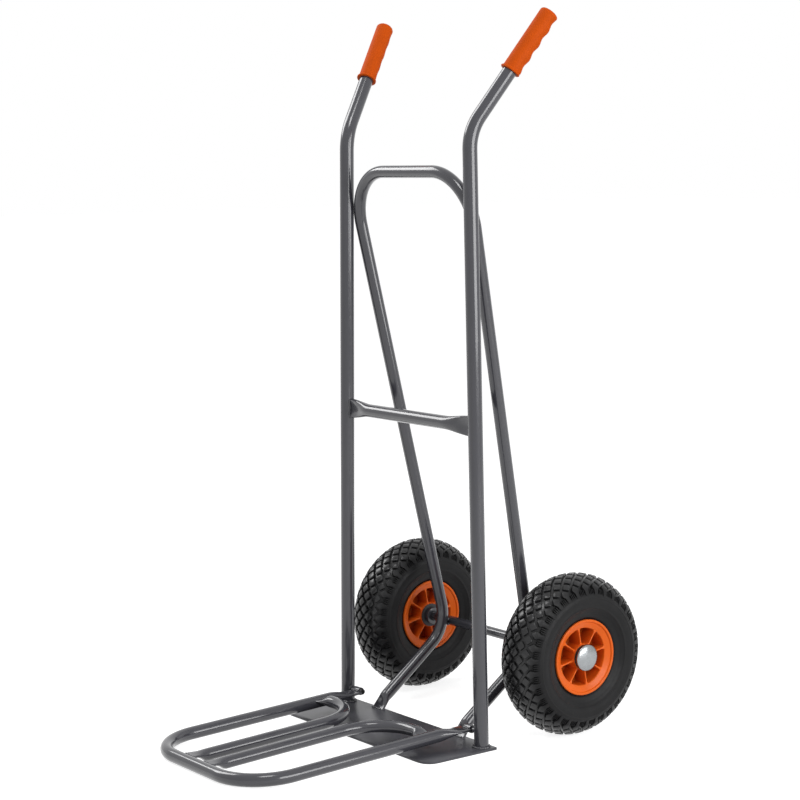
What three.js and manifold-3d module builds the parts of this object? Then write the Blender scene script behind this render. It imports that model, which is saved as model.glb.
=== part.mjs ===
// Hand truck with pneumatic wheels and a folding toe extension.
// Millimetres, +Z up. The toe points to -Y, the wheels stand at +Y, left is -X and right is +X.
import * as THREE from "three";
import { mergeVertices } from "three/addons/utils/BufferGeometryUtils.js";
import Module from "manifold-3d";

const wasm = await Module();
wasm.setup();

const { degToRad } = THREE.MathUtils;

// ---------- driving dimensions ----------

const GAP = 0.3; // between two pieces that touch

// Tubes
const TUBE_WALL = 1.5;
const SLIT = 0.4; // left inside a tube end that is pressed flat
const BEND_STEP = degToRad(15); // of a bend, between two rings
const TUBE_SIDES = 12;

// Rails: they come a little closer towards the handles.
const RAIL_DIAMETER = 23;
const RAIL_SIDES = 16;
const RAIL_SPACING_FOOT = 358; // between the centre lines at the floor
const RAIL_SPACING_BEND = 320; // and where the handles start
const BEND_HEIGHT = 957; // where the centre lines of rail and handle cross
const BEND_RADIUS = 85;
const HANDLE_LENGTH = 219; // from that crossing to the end of the grip
const HANDLE_LEAN = degToRad(33.4); // backwards
const HANDLE_FLARE = degToRad(15.5); // outwards, seen from the front

// Grips
const GRIP_LENGTH = 111;
const GRIP_WALL = 2.2;
const GRIP_COLLAR_RISE = 2.25; // above the grip's body
const GRIP_COLLAR_LENGTH = 3;
const GRIP_END_WALL = 3;
const GRIP_DOME = 3;
const GRIP_FINGERS = 4;
const FINGER_RIDGE = 2.2;
const FINGER_TURN = degToRad(34); // the finger side faces down and this much outwards

// Crossbar and rear brace
const BAR_DIAMETER = 20;
const CROSSBAR_HEIGHT = 506;
const CROSSBAR_TAPER = 46;
const BRACE_DROP = 61; // top bar's centre line below the start of the handles
const BRACE_BACK = 1.5; // top bar's centre line behind the rails' plane
const BRACE_CORNER_RADIUS = 85;
const KNEE_RADIUS = 65;
const KNEE_DROP = 9; // knee's corner point below the axle
const KNEE_INSET = 68; // knee inside the rail's foot
const FOOT_INSET = 71;
const FOOT_BEND_BACK = 9; // behind the plate's rear edge
const FOOT_BEND_HEIGHT = 21;
const FOOT_RADIUS = 20;
const FOOT_REST = 5; // foot's middle in front of the plate's rear edge
const FOOT_TAPER = 30;

// Toe plate
const PLATE_THICKNESS = 4;
const PLATE_OVERHANG = 18; // beyond the rail's foot
const PLATE_FRONT = 122;
const PLATE_REAR = 17;
const PLATE_CORNER_RADIUS = 26;

// Folding toe extension
const EXTENSION_REACH = 411; // from the hinge to the front bar's centre line
const EXTENSION_INSET = 34; // arm inside the rail's foot
const EXTENSION_CORNER_RADIUS = 82;
const ARM_TAPER = 50;
const HINGE_HEIGHT = 27;
const HINGE_PIN_DIAMETER = 8;
const HINGE_EYE_DIAMETER = 13;
const HINGE_EYE_LENGTH = 16;
const HINGE_EYE_SHIFT = 4; // eye outside the arm's centre line
const HINGE_CAP_LENGTH = 5;
const HINGE_CAP_WALL = 0.9;
const INNER_BAR_DIAMETER = 18;
const INNER_BAR_OFFSET = 28; // each from the middle
const INNER_BAR_LIFT = 4; // above the extension's plane
const INNER_BAR_RADIUS = 80;
const INNER_BAR_TURN = degToRad(104);
const INNER_BAR_REAR = 78; // hook's nearest to the hinge, on the centre line
const INNER_BAR_TAPER = 30;

// Wheels
const AXLE_DIAMETER = 16;
const WHEEL_OFFSET = 19; // wheel's middle plane outside the rail's foot
const TYRE_CLEARANCE = 27.5; // between the tyres and the rails
const TYRE_RADIUS = 130;
const TYRE_WIDTH = 85;
const TYRE_CROWN = 38; // height of the section above its widest place
const TYRE_SIDEWALL = 6;
const TYRE_TREAD = 9.5; // rubber under the crown
const TREAD_BLOCKS = 34; // in each row
const TREAD_ROWS = 4; // on each side of the middle row, the last one being the shoulder lugs
const TREAD_ROW_STEP = degToRad(13.5); // round the section, as the next two
const LUG_LENGTH = degToRad(17);
const SHOULDER_ANGLE = degToRad(81); // where the tread runs out
const TREAD_DEPTH = 3.6;
const LUG_DEPTH = 1.3; // at the outer end of the lugs
const TREAD_FOOTING = 1; // of the tread's edges in the carcass
const TREAD_BACKING = 3; // of the tread under its grooves
const SIDEWALL_END = degToRad(120);
const CAVITY_END = degToRad(135);
const BEAD_WIDTH = 5;
const RIM_HALF_WIDTH = 34.6;
const RIM_LIP_THICKNESS = 3;
const RIM_SEAT_RADIUS = 51.5;
const RIM_SEAT_WIDTH = 11.5;
const RIM_FLANGE_HEIGHT = 9.1; // above the seat
const RIM_FLANGE_LEAN = 2; // flange's foot inside its lip
const RIM_WELL_DEPTH = 4;
const RIM_WALL = 4;
const RIM_RECESS = 5.6; // spokes behind the rim's edge
const RIM_DISH = 15.6; // from the rim's edge in to the recess
const RIM_WEB = 6;
const RIM_SPOKES = 8;
const SPOKE_THICKNESS = 2.4;
const SPOKE_TURN = degToRad(10.5); // first spoke ahead of the vertical
const HUB_WALL = 11.7;
const HUB_HALF_LENGTH = 31;
const BUSH_WALL = 3.2;
const BUSH_LENGTH = 16;
const BUSH_FLANGE_RISE = 3.5;
const BUSH_FLANGE = 2.5;
const COLLAR_WALL = 6.2;
const COLLAR_LENGTH = 8;
const WASHER_WALL = 5.7;
const WASHER_THICKNESS = 2;
const AXLE_CAP_RADIUS = 21.3;
const AXLE_CAP_HEIGHT = 8;
const AXLE_CAP_EDGE = 2; // straight edge below the dome
const AXLE_CAP_WALL = 1.2;
const AXLE_CAP_GRIP = 5; // length of axle inside it
const INNER_TUBE_WALL = 2;
const INNER_TUBE_CLEARANCE = 1.8;
const VALVE_DIAMETER = 8;
const VALVE_BORE = 3;
const VALVE_SIDE = -11; // along the axle from the wheel's middle plane
const VALVE_ROOT = 11.5; // stem's foot in the tube's wall, above the rim's seat
const VALVE_CLEARANCE = 7.5; // between the hub and the stem's end
const VALVE_CAP_DIAMETER = 10.4;
const VALVE_CAP_LENGTH = 9;
const VALVE_CAP_END = 1.5;

const RIM_SEGMENTS = 24;
const AXLE_CAP_SEGMENTS = 20;
const INNER_TUBE_SEGMENTS = 14;
const SMALL_SEGMENTS = 16;

const SIDES = [
  { name: "left", side: -1 },
  { name: "right", side: 1 },
];

// ---------- sizes that follow ----------

const railRadius = RAIL_DIAMETER / 2;
const barRadius = BAR_DIAMETER / 2;
const innerBarRadius = INNER_BAR_DIAMETER / 2;
const axleRadius = AXLE_DIAMETER / 2;
const pressedHalf = TUBE_WALL + SLIT / 2; // half thickness of a pressed tube end
const footX = RAIL_SPACING_FOOT / 2;
const axleHeight = TYRE_RADIUS;
const axleBack = TYRE_RADIUS + TYRE_CLEARANCE + railRadius;
const braceHeight = BEND_HEIGHT - BRACE_DROP;
const wheelX = footX + WHEEL_OFFSET;
const armX = footX - EXTENSION_INSET;
const eyeX = armX + HINGE_EYE_SHIFT;
const extensionSlope = Math.asin((HINGE_HEIGHT - barRadius - GAP) / EXTENSION_REACH);
const rimLipRadius = RIM_SEAT_RADIUS + RIM_FLANGE_HEIGHT;
const rimWellRadius = RIM_SEAT_RADIUS - RIM_WELL_DEPTH;
const rimRecessRadius = rimLipRadius - RIM_DISH;
const spokeFace = RIM_HALF_WIDTH - RIM_RECESS;
const bushBore = axleRadius + GAP;
const bushRadius = bushBore + BUSH_WALL;
const hubRadius = bushRadius + GAP + HUB_WALL;
const valveEnd = hubRadius + VALVE_CLEARANCE; // from the axle
const hingeCapRadius = HINGE_PIN_DIAMETER / 2 + GAP + HINGE_CAP_WALL;

// Distances along the axle from a wheel's middle plane, outwards
const bushFace = HUB_HALF_LENGTH + GAP + BUSH_FLANGE;
const washerFace = bushFace + GAP + WASHER_THICKNESS;
const axleCapFace = washerFace + GAP;
const axleEnd = axleCapFace + AXLE_CAP_GRIP;

function railX(z) {
  return THREE.MathUtils.lerp(RAIL_SPACING_FOOT, RAIL_SPACING_BEND, z / BEND_HEIGHT) / 2;
}

// Width of a round tube's end once it is pressed flat
function pressedWidth(radius) {
  return Math.PI * (radius - pressedHalf) + 2 * pressedHalf;
}

// ---------- finishes ----------

function finish(color, roughness, metalness) {
  return new THREE.MeshStandardMaterial({ color, roughness, metalness });
}

const frameEnamel = finish(0x58595d, 0.28, 0.4);
const gripPlastic = finish(0xd6540a, 0.5, 0);
const rimPlastic = finish(0xee6a24, 0.35, 0);
const tyreRubber = finish(0x2b2c2d, 0.8, 0);
const tubeRubber = finish(0x1c1c1d, 0.7, 0);
const zincPlate = finish(0xc8ccd2, 0.3, 1);
const bushNylon = finish(0x3a3b3d, 0.45, 0);
const blackPlastic = finish(0x151617, 0.5, 0);

// ---------- solids ----------

function solidOf(geometry) {
  const bare = new THREE.BufferGeometry();
  bare.setAttribute("position", geometry.getAttribute("position"));
  bare.setIndex(geometry.index);
  const merged = mergeVertices(bare, 1e-4);
  return new wasm.Manifold(
    new wasm.Mesh({
      numProp: 3,
      vertProperties: merged.attributes.position.array,
      triVerts: new Uint32Array(merged.index.array),
    }),
  );
}

function geometryOf(solid) {
  const { vertProperties, triVerts } = solid.getMesh();
  const geometry = new THREE.BufferGeometry();
  geometry.setAttribute("position", new THREE.BufferAttribute(vertProperties, 3));
  geometry.setIndex(new THREE.BufferAttribute(triVerts, 1));
  return geometry;
}

function join(geometries) {
  return geometryOf(geometries.map(solidOf).reduce((all, next) => all.add(next)));
}

function cut(geometry, cutters) {
  return geometryOf(cutters.map(solidOf).reduce((rest, next) => rest.subtract(next), solidOf(geometry)));
}

// A solid of revolution round the X axis. The profile is a loop of [radius, x], or runs from axis to axis.
function revolve(profile, segments) {
  const points = profile.map(([radius, x]) => new THREE.Vector2(radius, x));
  if (THREE.ShapeUtils.isClockWise(points)) points.reverse();
  if (points.at(-1).x > 0) points.push(points[0]);
  return new THREE.LatheGeometry(points, segments).rotateZ(-Math.PI / 2);
}

// A ring along the X axis, or a full rod where no bore is given.
function ring(radius, bore, from, to, segments = SMALL_SEGMENTS) {
  return revolve([[bore, from], [radius, from], [radius, to], [bore, to]], segments);
}

// ---------- bent tubes ----------

// Straight runs between corner points, with a round bend at each inner corner. Rings of a sweep
// along it stand at its ends, through its bends and where they are asked for.
class TubePath extends THREE.Curve {
  constructor(corners, bendRadii) {
    super();
    this.stations = [];
    this.addStation(corners[0], directionOf(corners[0], corners[1]));
    bendRadii.forEach((radius, i) => this.addBend(...corners.slice(i, i + 3), radius));
    this.addStation(corners.at(-1), directionOf(corners.at(-2), corners.at(-1)));
  }

  addStation(point, tangent) {
    const previous = this.stations.at(-1);
    const along = previous ? previous.along + previous.point.distanceTo(point) : 0;
    this.stations.push({ point, tangent, along });
  }

  addBend(before, corner, after, radius) {
    const start = directionOf(before, corner);
    const end = directionOf(corner, after);
    const turn = start.angleTo(end);
    const axis = start.clone().cross(end).normalize();
    const entry = corner.clone().addScaledVector(start, -radius * Math.tan(turn / 2));
    const spoke = start.clone().cross(axis).multiplyScalar(radius);
    const centre = entry.clone().sub(spoke);
    const steps = Math.ceil(turn / BEND_STEP);
    for (let i = 0; i <= steps; i++) {
      const angle = (turn * i) / steps;
      const point = spoke.clone().applyAxisAngle(axis, angle).add(centre);
      this.addStation(point, start.clone().applyAxisAngle(axis, angle));
    }
  }

  // A ring at this distance along the path, unless a bend already has its rings there.
  addRing(along) {
    const next = this.stations.findIndex((station) => station.along > along);
    const [a, b] = this.stations.slice(next - 1, next + 1);
    if (a.tangent.angleTo(b.tangent) > 1e-4) return;
    const point = a.point.clone().addScaledVector(a.tangent, along - a.along);
    this.stations.splice(next, 0, { point, tangent: a.tangent, along });
  }

  get length() {
    return this.stations.at(-1).along;
  }

  getPointAt(u, target = new THREE.Vector3()) {
    return target.copy(this.stations[Math.round(u * (this.stations.length - 1))].point);
  }

  getTangentAt(u, target = new THREE.Vector3()) {
    return target.copy(this.stations[Math.round(u * (this.stations.length - 1))].tangent);
  }
}

function directionOf(from, to) {
  return to.clone().sub(from).normalize();
}

function circle(Kind, radius, sides) {
  const outline = new Kind().absarc(0, 0, radius, 0, 2 * Math.PI);
  return new Kind(outline.getSpacedPoints(sides).slice(0, -1));
}

// A tube along a path, or a full bar where no wall is given.
function sweep(path, radius, sides, wall = 0) {
  const shape = circle(THREE.Shape, radius, sides);
  if (wall > 0) shape.holes.push(circle(THREE.Path, radius - wall, sides / 2));
  return new THREE.ExtrudeGeometry(shape, { steps: path.stations.length - 1, extrudePath: path });
}

// A tube whose ends are pressed flat across the normal, over a flat length and then a taper.
function pressedTube(path, radius, { flat, taper, normal }) {
  const tapers = [0, 1 / 3, 2 / 3, 1].map((share) => flat + share * taper);
  tapers.flatMap((along) => [along, path.length - along]).forEach((along) => path.addRing(along));
  const geometry = sweep(path, radius, TUBE_SIDES, TUBE_WALL);
  const halfWidth = pressedWidth(radius) / 2;
  const position = geometry.getAttribute("position");
  const vertex = new THREE.Vector3();
  for (let i = 0; i < position.count; i++) {
    vertex.fromBufferAttribute(position, i);
    const { point, tangent, along } = ringOf(path, vertex, radius);
    const fromEnd = Math.min(along, path.length - along);
    const share = 1 - THREE.MathUtils.smoothstep(fromEnd, flat, flat + taper);
    const thin = normal.clone().projectOnPlane(tangent).normalize();
    const wide = tangent.clone().cross(thin);
    const offset = vertex.clone().sub(point);
    const skin = radius - offset.length();
    const [across, up] = [offset.dot(wide), offset.dot(thin)];
    const sine = up / offset.length();
    const pressedAcross = (across / offset.length()) * (halfWidth - skin);
    const pressedUp = THREE.MathUtils.clamp(2 * sine, -1, 1) * (pressedHalf - skin);
    vertex.copy(point);
    vertex.addScaledVector(wide, THREE.MathUtils.lerp(across, pressedAcross, share));
    vertex.addScaledVector(thin, THREE.MathUtils.lerp(up, pressedUp, share));
    position.setXYZ(i, vertex.x, vertex.y, vertex.z);
  }
  return geometry;
}

// The ring of a sweep that a vertex belongs to.
function ringOf(path, vertex, radius) {
  const near = path.stations.filter(({ point }) => point.distanceTo(vertex) < radius + GAP);
  const offPlane = ({ point, tangent }) => Math.abs(vertex.clone().sub(point).dot(tangent));
  return near.reduce((best, station) => (offPlane(station) < offPlane(best) ? station : best));
}

// ---------- rails and grips ----------

function bendPoint(side) {
  return new THREE.Vector3(side * railX(BEND_HEIGHT), 0, BEND_HEIGHT);
}

function handleDirection(side) {
  return new THREE.Vector3(side * Math.tan(HANDLE_FLARE), Math.tan(HANDLE_LEAN), 1).normalize();
}

function railPath(side) {
  const tilt = (railX(0) - railX(BEND_HEIGHT)) / BEND_HEIGHT;
  const footZ = PLATE_THICKNESS + GAP + railRadius * tilt;
  const foot = new THREE.Vector3(side * railX(footZ), 0, footZ);
  const length = HANDLE_LENGTH - GRIP_DOME - GRIP_END_WALL - GAP;
  const tip = bendPoint(side).addScaledVector(handleDirection(side), length);
  return new TubePath([foot, bendPoint(side), tip], [BEND_RADIUS]);
}

function rail(side) {
  return sweep(railPath(side), railRadius, RAIL_SIDES, TUBE_WALL);
}

// The rail with the gap round it, to cut the pieces that butt against it.
function railRoom(side) {
  return sweep(railPath(side), railRadius + GAP, RAIL_SIDES);
}

// Its profile runs from the blind end of the bore, round the collar and up to the domed end.
function grip(side) {
  const bore = railRadius + GAP;
  const body = bore + GRIP_WALL;
  const collar = body + GRIP_COLLAR_RISE;
  const fingersStart = GRIP_COLLAR_LENGTH + 2;
  const fingersEnd = GRIP_LENGTH - GRIP_DOME;
  const boreEnd = fingersEnd - GRIP_END_WALL;
  const profile = [[0, boreEnd], [bore, boreEnd], [bore, 0], [collar, 0], [collar, GRIP_COLLAR_LENGTH]];
  const rows = 4 * GRIP_FINGERS;
  for (let i = 0; i <= rows; i++) {
    profile.push([body, THREE.MathUtils.lerp(fingersStart, fingersEnd, i / rows)]);
  }
  profile.push([0.75 * body, GRIP_LENGTH - 0.4 * GRIP_DOME], [0, GRIP_LENGTH]);
  const geometry = revolve(profile, SMALL_SEGMENTS).rotateY(-Math.PI / 2);
  raiseFingerRidges(geometry, body, fingersStart, fingersEnd);
  const axis = handleDirection(side);
  const downward = new THREE.Vector3(0, 1, 0).projectOnPlane(axis).normalize();
  const fingers = downward.applyAxisAngle(axis, -side * FINGER_TURN);
  const seat = bendPoint(side).addScaledVector(axis, HANDLE_LENGTH - GRIP_LENGTH);
  const pose = new THREE.Matrix4().makeBasis(fingers.clone().cross(axis), fingers, axis);
  return geometry.applyMatrix4(pose.setPosition(seat));
}

function raiseFingerRidges(geometry, body, start, end) {
  const position = geometry.getAttribute("position");
  for (let i = 0; i < position.count; i++) {
    const [x, y, z] = [position.getX(i), position.getY(i), position.getZ(i)];
    if (y <= 0 || Math.abs(Math.hypot(x, y) - body) > GAP || z < start - GAP) continue;
    const wave = (1 + Math.cos((2 * Math.PI * GRIP_FINGERS * (z - start)) / (end - start))) / 2;
    const grown = 1 + (FINGER_RIDGE * wave * (y / body) ** 2) / body;
    position.setXYZ(i, x * grown, y * grown, z);
  }
}

// ---------- crossbar and rear brace ----------

function crossbar() {
  const reach = railX(CROSSBAR_HEIGHT);
  const ends = [-reach, reach].map((x) => new THREE.Vector3(x, 0, CROSSBAR_HEIGHT));
  const tube = pressedTube(new TubePath(ends, []), barRadius, {
    flat: railRadius + GAP,
    taper: CROSSBAR_TAPER,
    normal: new THREE.Vector3(0, 1, 0),
  });
  return cut(tube, [railRoom(-1), railRoom(1)]);
}

// The largest value between two limits that keeps a falling test true.
function largest(low, high, test) {
  for (let i = 0; i < 40; i++) {
    const middle = (low + high) / 2;
    if (test(middle)) low = middle;
    else high = middle;
  }
  return low;
}

// How far back the knee's corner lies, so that its bend touches the front of the axle.
function kneeBack(top, heel) {
  const touch = KNEE_RADIUS + barRadius + axleRadius + GAP;
  const drop = axleHeight - KNEE_DROP;
  return largest(heel.y, axleBack + axleHeight, (y) => {
    const knee = new THREE.Vector3(heel.x, y, drop);
    const up = directionOf(knee, top.clone().setX(heel.x));
    const down = directionOf(knee, heel);
    const inside = up.clone().add(down).normalize();
    const centre = knee.addScaledVector(inside, KNEE_RADIUS / Math.sin(up.angleTo(down) / 2));
    return Math.hypot(centre.y - axleBack, centre.z - axleHeight) > touch;
  });
}

// The feet run on below the plate's top, where they are cut off.
function bracePath(topX) {
  const heel = new THREE.Vector3(footX - FOOT_INSET, PLATE_REAR + FOOT_BEND_BACK, FOOT_BEND_HEIGHT);
  const foot = new THREE.Vector3(heel.x, PLATE_REAR - FOOT_REST, PLATE_THICKNESS);
  const end = foot.clone().addScaledVector(directionOf(heel, foot), barRadius);
  const top = new THREE.Vector3(topX, BRACE_BACK, braceHeight);
  const knee = new THREE.Vector3(footX - KNEE_INSET, kneeBack(top, heel), axleHeight - KNEE_DROP);
  const right = [top, knee, heel, end];
  const left = right.map(({ x, y, z }) => new THREE.Vector3(-x, y, z)).reverse();
  const bends = [BRACE_CORNER_RADIUS, KNEE_RADIUS, FOOT_RADIUS];
  return new TubePath([...left, ...right], [...bends.toReversed(), ...bends]);
}

// Its upper corners are as wide as they can be between the rails.
function seatedBracePath() {
  const rail = new THREE.Line3(new THREE.Vector3(railX(0), 0, 0), bendPoint(1));
  const foot = new THREE.Vector3();
  const clears = (topX) => {
    const { stations } = bracePath(topX);
    const rings = stations.filter(({ point }) => point.x > 0 && point.z > axleHeight);
    const distances = rings.map(({ point }) => rail.closestPointToPoint(point, true, foot).distanceTo(point));
    return Math.min(...distances) > railRadius + barRadius + GAP;
  };
  return bracePath(largest(railX(0) / 2, railX(braceHeight), clears));
}

function rearBrace() {
  const tube = pressedTube(seatedBracePath(), barRadius, {
    flat: 2 * barRadius,
    taper: FOOT_TAPER,
    normal: new THREE.Vector3(0, 0, 1),
  });
  const plateRoom = new THREE.BoxGeometry(RAIL_SPACING_FOOT, PLATE_FRONT, 2 * BAR_DIAMETER);
  return cut(tube, [plateRoom.translate(0, 0, PLATE_THICKNESS + GAP - BAR_DIAMETER)]);
}

// ---------- toe plate and extension ----------

function toePlate() {
  const halfWidth = footX + PLATE_OVERHANG;
  const corner = PLATE_CORNER_RADIUS;
  const shape = new THREE.Shape();
  shape.moveTo(halfWidth, PLATE_REAR);
  shape.lineTo(-halfWidth, PLATE_REAR);
  shape.lineTo(-halfWidth, corner - PLATE_FRONT);
  shape.absarc(corner - halfWidth, corner - PLATE_FRONT, corner, Math.PI, 1.5 * Math.PI);
  shape.absarc(halfWidth - corner, corner - PLATE_FRONT, corner, 1.5 * Math.PI, 2 * Math.PI);
  return new THREE.ExtrudeGeometry(shape, {
    depth: PLATE_THICKNESS,
    bevelEnabled: false,
    curveSegments: 6,
  });
}

// The extension's own pieces are drawn flat, with the hinge along the X axis and the front at -Y.
const flatNormal = new THREE.Vector3(0, 0, 1);

function extensionPath() {
  const start = hingeCapRadius + GAP;
  const right = [new THREE.Vector3(armX, -EXTENSION_REACH, 0), new THREE.Vector3(armX, -start, 0)];
  const left = right.map(({ x, y }) => new THREE.Vector3(-x, y, 0)).reverse();
  return new TubePath([...left, ...right], [EXTENSION_CORNER_RADIUS, EXTENSION_CORNER_RADIUS]);
}

function extensionFrame() {
  const tube = pressedTube(extensionPath(), barRadius, {
    flat: HINGE_EYE_DIAMETER / 2,
    taper: ARM_TAPER,
    normal: flatNormal,
  });
  const half = HINGE_EYE_LENGTH / 2;
  const eyes = [-eyeX, eyeX].map((x) => ring(HINGE_EYE_DIAMETER / 2, 0, x - half, x + half));
  const bore = ring(HINGE_PIN_DIAMETER / 2 + GAP, 0, -footX, footX);
  return cut(join([tube, ...eyes]), [bore]);
}

// A bar that runs back from the front bar and hooks outwards to the arm.
function innerBar(side) {
  const bendRun = INNER_BAR_RADIUS * Math.tan(INNER_BAR_TURN / 2);
  const cornerY = bendRun - INNER_BAR_RADIUS - INNER_BAR_REAR;
  const hookRise = (armX - INNER_BAR_OFFSET) / Math.tan(Math.PI - INNER_BAR_TURN);
  const corners = [
    new THREE.Vector3(side * INNER_BAR_OFFSET, -EXTENSION_REACH, INNER_BAR_LIFT),
    new THREE.Vector3(side * INNER_BAR_OFFSET, cornerY, INNER_BAR_LIFT),
    new THREE.Vector3(side * armX, cornerY - hookRise, INNER_BAR_LIFT),
  ];
  const tube = pressedTube(new TubePath(corners, [INNER_BAR_RADIUS]), innerBarRadius, {
    flat: barRadius + GAP,
    taper: INNER_BAR_TAPER,
    normal: flatNormal,
  });
  const frameRoom = sweep(extensionPath(), barRadius + GAP, TUBE_SIDES);
  return cut(tube, [frameRoom]);
}

function hingePin(side) {
  const inner = side * (eyeX - HINGE_EYE_LENGTH / 2 - GAP - HINGE_CAP_LENGTH + HINGE_CAP_WALL + GAP);
  const pin = ring(HINGE_PIN_DIAMETER / 2, 0, inner, side * footX).translate(0, 0, HINGE_HEIGHT);
  return cut(pin, [railRoom(side)]);
}

function hingeCap(side) {
  const bore = HINGE_PIN_DIAMETER / 2 + GAP;
  const radius = hingeCapRadius;
  const open = side * (eyeX - HINGE_EYE_LENGTH / 2 - GAP);
  const bottom = open - side * (HINGE_CAP_LENGTH - HINGE_CAP_WALL);
  const end = open - side * HINGE_CAP_LENGTH;
  const profile = [[0, end], [radius, end], [radius, open], [bore, open], [bore, bottom], [0, bottom]];
  return revolve(profile, SMALL_SEGMENTS).translate(0, 0, HINGE_HEIGHT);
}

// ---------- wheels ----------

function mirrored(profile) {
  return profile.map(([radius, x]) => [radius, -x]).reverse();
}

// One moulding: barrel, web and hub in one profile, and spokes that stand on both sides of the web.
function rim() {
  const seatEdge = RIM_HALF_WIDTH - RIM_LIP_THICKNESS - RIM_FLANGE_LEAN;
  const well = seatEdge - RIM_SEAT_WIDTH;
  const tyreSide = [
    [rimWellRadius, well - RIM_WELL_DEPTH],
    [RIM_SEAT_RADIUS, well],
    [RIM_SEAT_RADIUS, seatEdge],
    [rimLipRadius, RIM_HALF_WIDTH - RIM_LIP_THICKNESS],
    [rimLipRadius, RIM_HALF_WIDTH],
  ];
  const openSide = [
    [rimLipRadius - RIM_LIP_THICKNESS, RIM_HALF_WIDTH],
    [rimRecessRadius, spokeFace],
    [rimWellRadius - RIM_WALL, RIM_WEB / 2],
    [hubRadius, RIM_WEB / 2],
    [hubRadius, HUB_HALF_LENGTH],
    [bushRadius + GAP, HUB_HALF_LENGTH],
  ];
  const half = [...tyreSide, ...openSide];
  const body = revolve([...mirrored(half), ...half], RIM_SEGMENTS);
  const spokeInner = hubRadius - SPOKE_THICKNESS;
  const spokeLength = rimRecessRadius + RIM_WALL / 2 - spokeInner;
  const spokes = Array.from({ length: RIM_SPOKES }, (_, i) => {
    const spoke = new THREE.BoxGeometry(2 * spokeFace, SPOKE_THICKNESS, spokeLength);
    spoke.translate(0, 0, spokeInner + spokeLength / 2);
    return spoke.rotateX(SPOKE_TURN + (2 * Math.PI * i) / RIM_SPOKES);
  });
  const hole = towardsValve(ring(VALVE_DIAMETER / 2 + GAP, 0, hubRadius + RIM_WALL, RIM_SEAT_RADIUS));
  return cut(join([body, ...spokes]), [hole]);
}

// Turns a piece that is drawn along +X to point outwards between two spokes, at the valve's side.
function towardsValve(geometry) {
  const between = Math.PI / RIM_SPOKES;
  return geometry.rotateY(-Math.PI / 2).rotateX(SPOKE_TURN + between).translate(VALVE_SIDE, 0, 0);
}

// Points of the tyre's section round its inside, by angle from the crown.
function cavityProfile(angles, inset = 0) {
  const halfWidth = TYRE_WIDTH / 2 - TYRE_SIDEWALL - inset;
  const top = TYRE_RADIUS - TYRE_TREAD - inset;
  const bottom = RIM_SEAT_RADIUS + BEAD_WIDTH + inset;
  const [middle, halfHeight] = [(top + bottom) / 2, (top - bottom) / 2];
  return angles.map((angle) => [middle + halfHeight * Math.cos(angle), halfWidth * Math.sin(angle)]);
}

function angleSteps(from, to, steps) {
  return Array.from({ length: steps + 1 }, (_, i) => THREE.MathUtils.lerp(from, to, i / steps));
}

// A point of the tyre's outer section, by angle from the crown and depth under the surface.
function outsidePoint(angle, depth = 0) {
  const halfWidth = TYRE_WIDTH / 2;
  const normal = new THREE.Vector2(halfWidth * Math.cos(angle), TYRE_CROWN * Math.sin(angle)).normalize();
  const point = new THREE.Vector2(TYRE_CROWN * Math.cos(angle), halfWidth * Math.sin(angle));
  point.x += TYRE_RADIUS - TYRE_CROWN;
  return point.addScaledVector(normal, -depth).toArray();
}

// Rows of blocks from one shoulder to the other. Those of odd rows stand half a pitch further round.
function treadRows() {
  const angles = angleSteps(0, TREAD_ROWS * TREAD_ROW_STEP, TREAD_ROWS);
  const half = angles.map((angle, row) => ({ angle, depth: TREAD_DEPTH, odd: row % 2 }));
  const lug = half.at(-1);
  half.push({ angle: lug.angle + LUG_LENGTH, depth: LUG_DEPTH, odd: lug.odd });
  const otherHalf = half.slice(1).map((row) => ({ ...row, angle: -row.angle }));
  return [...otherHalf.reverse(), ...half];
}

// A band of diamond blocks, each a low pyramid. Every second point of a row is the top of a block,
// and those between sink to the grooves, which run along the diagonals.
function tread() {
  const rows = treadRows();
  const [start, end] = [-SHOULDER_ANGLE, SHOULDER_ANGLE].map((angle) => outsidePoint(angle, TREAD_FOOTING));
  const outer = rows.map(({ angle }) => outsidePoint(angle));
  const inner = rows.map(({ angle, depth }) => outsidePoint(angle, depth + TREAD_BACKING));
  const profile = [start, ...outer, end, ...inner.reverse(), start].map((point) => new THREE.Vector2(...point));
  const columns = 2 * TREAD_BLOCKS;
  const band = new THREE.LatheGeometry(profile, columns);
  const position = band.getAttribute("position");
  const cornerOf = (column, row) => column * profile.length + row + 1;
  const isGroove = (column, row) => (column + rows[row].odd) % 2 === 1;
  for (let column = 0; column <= columns; column++) {
    for (let row = 0; row < rows.length; row++) {
      if (!isGroove(column, row)) continue;
      const corner = cornerOf(column, row);
      const [radius, x] = outsidePoint(rows[row].angle, rows[row].depth);
      const shrink = radius / outer[row][0];
      position.setXYZ(corner, position.getX(corner) * shrink, x, position.getZ(corner) * shrink);
      if (column === columns || !rows[row + 1] || !isGroove(column + 1, row + 1)) continue;
      const opposite = cornerOf(column + 1, row + 1);
      const quad = 6 * (corner - column);
      band.getIndex().set([corner, opposite - 1, opposite, opposite, corner + 1, corner], quad);
    }
  }
  return band.rotateZ(-Math.PI / 2);
}

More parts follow.
